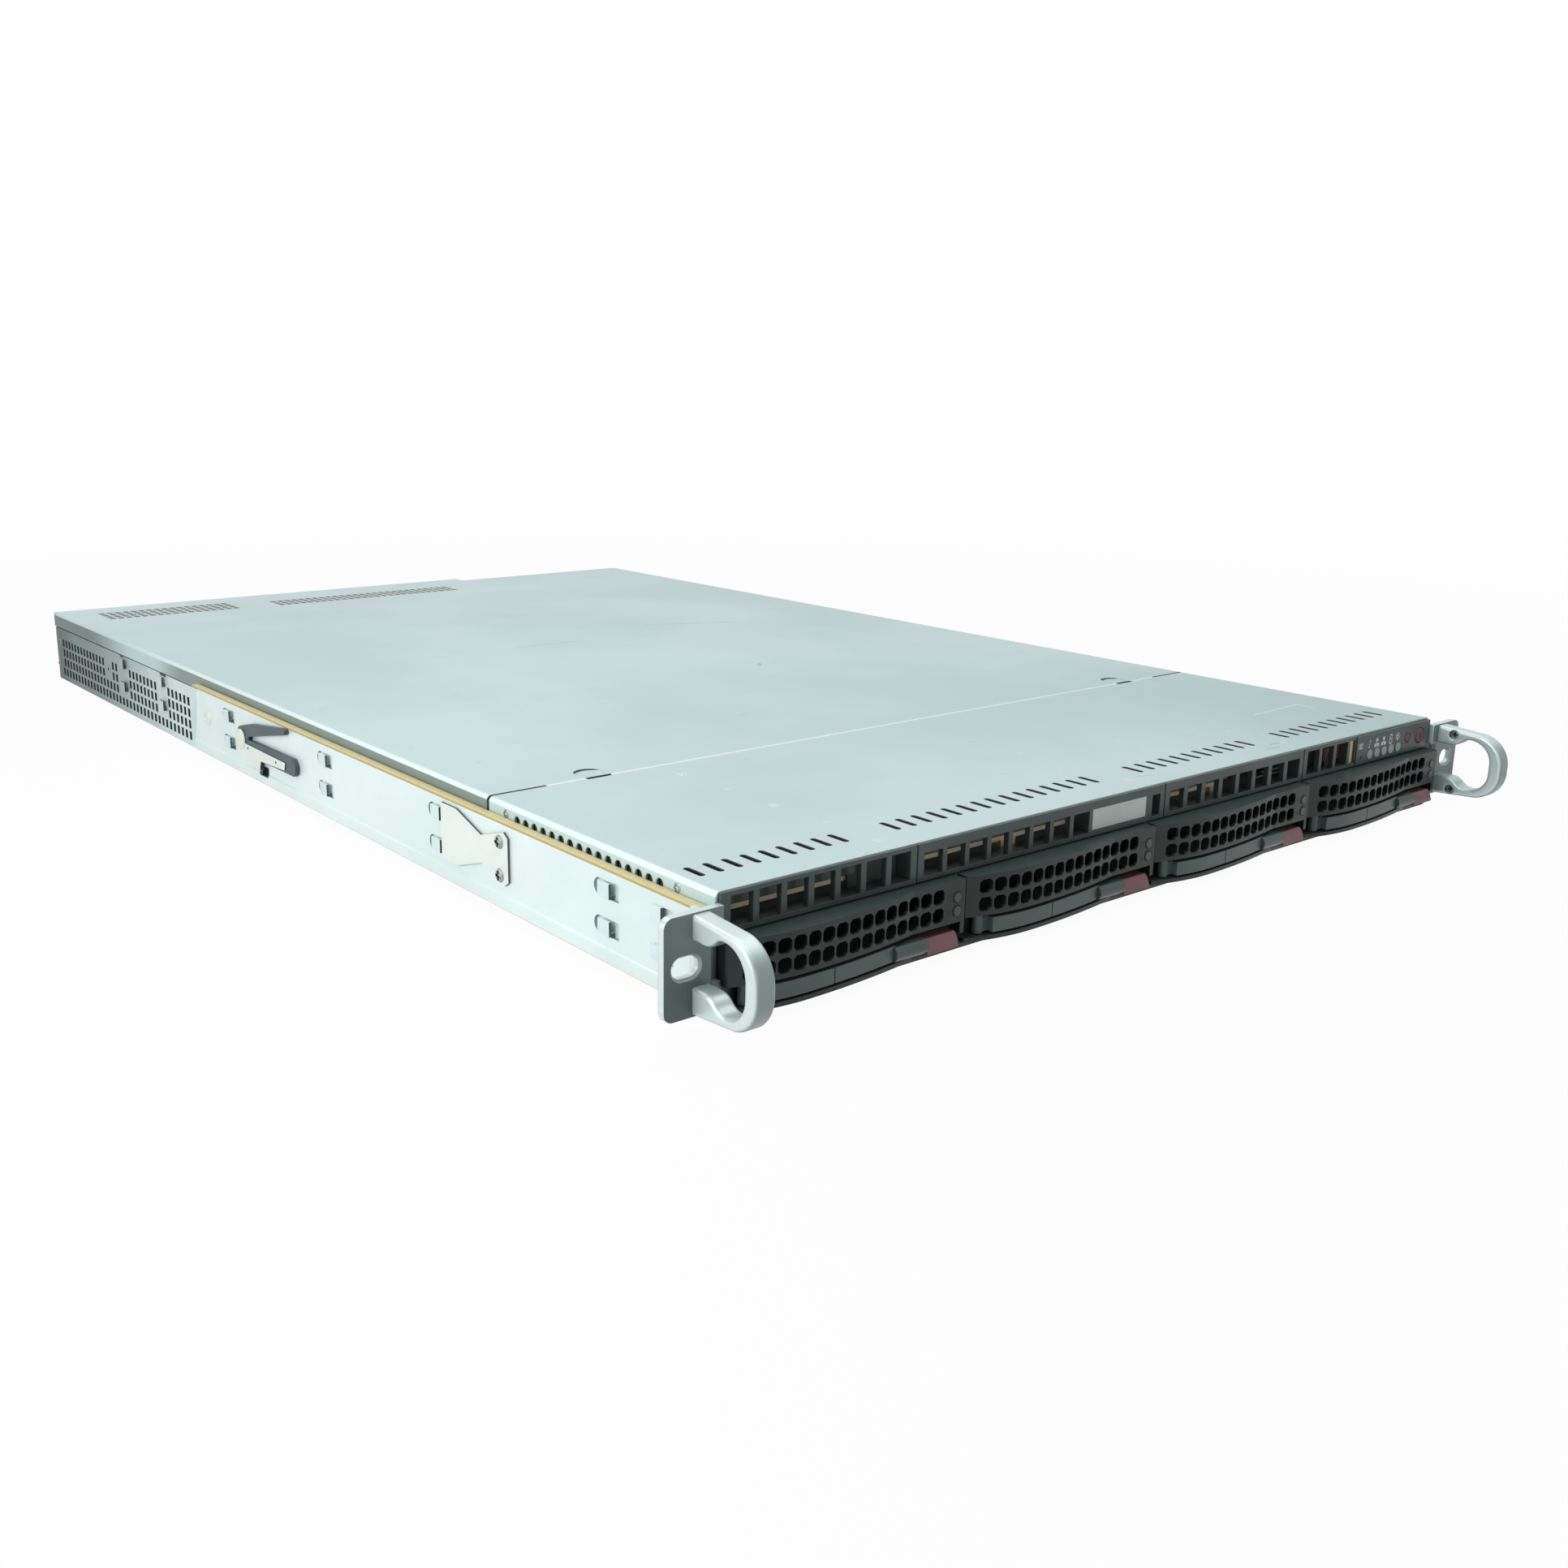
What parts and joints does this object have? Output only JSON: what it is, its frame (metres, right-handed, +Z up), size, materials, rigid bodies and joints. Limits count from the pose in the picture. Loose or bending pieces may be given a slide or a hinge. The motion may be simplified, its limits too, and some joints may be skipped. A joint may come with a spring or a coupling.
{
  "type": "rack server",
  "caption": "One-unit rack server: low wide chassis with hot-swap drive carriers, louvred front strip, control panel, cast ears with loop handles, slide rails and a sliding rear lid.",
  "frame": {"origin": "on the underside, at the middle of the width, in the plane where the ears meet the rack posts", "axes": "+X to the right seen from the front, +Y to the back, +Z up"},
  "size_m": [0.4826, 0.7392, 0.043],
  "materials": {
    "plated_steel": "zinc-plated sheet steel",
    "cover_metal": "pale coated sheet steel",
    "rail_steel": "pale zinc-plated rail steel",
    "spring_steel": "spring steel",
    "bright_steel": "bare steel",
    "tan_steel": "yellow chromated steel",
    "cast_metal": "satin cast metal",
    "black_plastic": "black moulded plastic",
    "face_plastic": "dark moulded plastic",
    "pale_plate": "pale bare plate",
    "button_plastic": "grey plastic",
    "clear_plastic": "clear lens plastic",
    "latch_plastic": "maroon plastic",
    "red_plastic": "dark red plastic",
    "tray_metal": "bare aluminium",
    "drive_metal": "cast aluminium",
    "green_board": "circuit board",
    "memory_board": "circuit board",
    "fan_plastic": "black fan plastic",
    "sink_metal": "extruded aluminium",
    "supply_metal": "sheet metal case"
  },
  "bodies": {
    "chassis": {"chassis_tub": "plated_steel", "rear_panel": "plated_steel", "rear_ports": "bright_steel", "front_cover": "cover_metal", "front_strip": "black_plastic", "badge_plate": "pale_plate", "front_brace": "tan_steel", "front_sockets": "red_plastic", "control_panel": "black_plastic", "panel_lamps": "clear_plastic", "ear_left": "cast_metal", "ear_right": "cast_metal", "rail_left": "rail_steel", "rail_right": "rail_steel", "rail_springs": "spring_steel", "rail_fasteners": "bright_steel", "drive_cage": "plated_steel", "backplane": "green_board", "fan_frames": "fan_plastic", "fan_bracket": "plated_steel", "main_board": "green_board", "heat_sinks": "sink_metal", "memory_modules": "memory_board"},
    "lid": {"rear_cover": "cover_metal"},
    "power": {"power_button": "button_plastic"},
    "reset": {"reset_button": "button_plastic"},
    "release_left": {"rail_lever_left": "rail_steel"},
    "release_right": {"rail_lever_right": "rail_steel"},
    "carrier_1": {"carrier_1_face": "face_plastic", "carrier_1_tray": "tray_metal", "carrier_1_drive": "drive_metal", "carrier_1_lights": "clear_plastic"},
    "lever_1": {"carrier_1_lever": "face_plastic"},
    "latch_1": {"carrier_1_latch": "latch_plastic"},
    "rotor_1": {"fan_rotor_1": "fan_plastic"},
    "carrier_2": {"carrier_2_face": "face_plastic", "carrier_2_tray": "tray_metal", "carrier_2_drive": "drive_metal", "carrier_2_lights": "clear_plastic"},
    "lever_2": {"carrier_2_lever": "face_plastic"},
    "latch_2": {"carrier_2_latch": "latch_plastic"},
    "rotor_2": {"fan_rotor_2": "fan_plastic"},
    "carrier_3": {"carrier_3_face": "face_plastic", "carrier_3_tray": "tray_metal", "carrier_3_drive": "drive_metal", "carrier_3_lights": "clear_plastic"},
    "lever_3": {"carrier_3_lever": "face_plastic"},
    "latch_3": {"carrier_3_latch": "latch_plastic"},
    "rotor_3": {"fan_rotor_3": "fan_plastic"},
    "carrier_4": {"carrier_4_face": "face_plastic", "carrier_4_tray": "tray_metal", "carrier_4_drive": "drive_metal", "carrier_4_lights": "clear_plastic"},
    "lever_4": {"carrier_4_lever": "face_plastic"},
    "latch_4": {"carrier_4_latch": "latch_plastic"},
    "rotor_4": {"fan_rotor_4": "fan_plastic"},
    "supply_left": {"supply_left": "supply_metal"},
    "supply_left_catch": {"supply_left_latch": "latch_plastic"},
    "supply_right": {"supply_right": "supply_metal"},
    "supply_right_catch": {"supply_right_latch": "latch_plastic"}
  },
  "joints": [
    {"name": "lid_slide", "type": "slide", "parent": "chassis", "child": "lid", "axis": [0, 1, 0], "range_m": [0, 0.0127]},
    {"name": "power_push", "type": "slide", "parent": "chassis", "child": "power", "axis": [0, 1, 0], "range_m": [0, 0.0012], "stiffness_N_per_m": 400},
    {"name": "reset_push", "type": "slide", "parent": "chassis", "child": "reset", "axis": [0, 1, 0], "range_m": [0, 0.0012], "stiffness_N_per_m": 400},
    {"name": "release_left_turn", "type": "hinge", "parent": "chassis", "child": "release_left", "pos_m": [-0.2238, 0.3746, 0.022], "axis": [1, 0, 0], "range_deg": [-4, 3], "stiffness_Nm_per_rad": 0.6},
    {"name": "release_right_turn", "type": "hinge", "parent": "chassis", "child": "release_right", "pos_m": [0.2238, 0.3746, 0.022], "axis": [1, 0, 0], "range_deg": [-4, 3], "stiffness_Nm_per_rad": 0.6},
    {"name": "carrier_1_slide", "type": "slide", "parent": "chassis", "child": "carrier_1", "axis": [0, -1, 0], "range_m": [0, 0.15]},
    {"name": "lever_1_swing", "type": "hinge", "parent": "carrier_1", "child": "lever_1", "pos_m": [-0.21, -0.0036, 0.0085], "axis": [0, 0, -1], "range_deg": [0, 75]},
    {"name": "latch_1_press", "type": "slide", "parent": "carrier_1", "child": "latch_1", "axis": [1, 0, 0], "range_m": [0, 0.0022], "stiffness_N_per_m": 500},
    {"name": "rotor_1_spin", "type": "hinge", "parent": "chassis", "child": "rotor_1", "pos_m": [-0.159, 0.203, 0.0213], "axis": [0, 1, 0], "continuous": true},
    {"name": "carrier_2_slide", "type": "slide", "parent": "chassis", "child": "carrier_2", "axis": [0, -1, 0], "range_m": [0, 0.15]},
    {"name": "lever_2_swing", "type": "hinge", "parent": "carrier_2", "child": "lever_2", "pos_m": [-0.1008, -0.0036, 0.0085], "axis": [0, 0, -1], "range_deg": [0, 75]},
    {"name": "latch_2_press", "type": "slide", "parent": "carrier_2", "child": "latch_2", "axis": [1, 0, 0], "range_m": [0, 0.0022], "stiffness_N_per_m": 500},
    {"name": "rotor_2_spin", "type": "hinge", "parent": "chassis", "child": "rotor_2", "pos_m": [-0.053, 0.203, 0.0213], "axis": [0, 1, 0], "continuous": true},
    {"name": "carrier_3_slide", "type": "slide", "parent": "chassis", "child": "carrier_3", "axis": [0, -1, 0], "range_m": [0, 0.15]},
    {"name": "lever_3_swing", "type": "hinge", "parent": "carrier_3", "child": "lever_3", "pos_m": [0.0084, -0.0036, 0.0085], "axis": [0, 0, -1], "range_deg": [0, 75]},
    {"name": "latch_3_press", "type": "slide", "parent": "carrier_3", "child": "latch_3", "axis": [1, 0, 0], "range_m": [0, 0.0022], "stiffness_N_per_m": 500},
    {"name": "rotor_3_spin", "type": "hinge", "parent": "chassis", "child": "rotor_3", "pos_m": [0.053, 0.203, 0.0213], "axis": [0, 1, 0], "continuous": true},
    {"name": "carrier_4_slide", "type": "slide", "parent": "chassis", "child": "carrier_4", "axis": [0, -1, 0], "range_m": [0, 0.15]},
    {"name": "lever_4_swing", "type": "hinge", "parent": "carrier_4", "child": "lever_4", "pos_m": [0.1176, -0.0036, 0.0085], "axis": [0, 0, -1], "range_deg": [0, 75]},
    {"name": "latch_4_press", "type": "slide", "parent": "carrier_4", "child": "latch_4", "axis": [1, 0, 0], "range_m": [0, 0.0022], "stiffness_N_per_m": 500},
    {"name": "rotor_4_spin", "type": "hinge", "parent": "chassis", "child": "rotor_4", "pos_m": [0.159, 0.203, 0.0213], "axis": [0, 1, 0], "continuous": true},
    {"name": "supply_left_slide", "type": "slide", "parent": "chassis", "child": "supply_left", "axis": [0, 1, 0], "range_m": [0, 0.12]},
    {"name": "supply_left_press", "type": "slide", "parent": "supply_left", "child": "supply_left_catch", "axis": [-1, 0, 0], "range_m": [0, 0.002], "stiffness_N_per_m": 500},
    {"name": "supply_right_slide", "type": "slide", "parent": "chassis", "child": "supply_right", "axis": [0, 1, 0], "range_m": [0, 0.12]},
    {"name": "supply_right_press", "type": "slide", "parent": "supply_right", "child": "supply_right_catch", "axis": [-1, 0, 0], "range_m": [0, 0.002], "stiffness_N_per_m": 500}
  ]
}
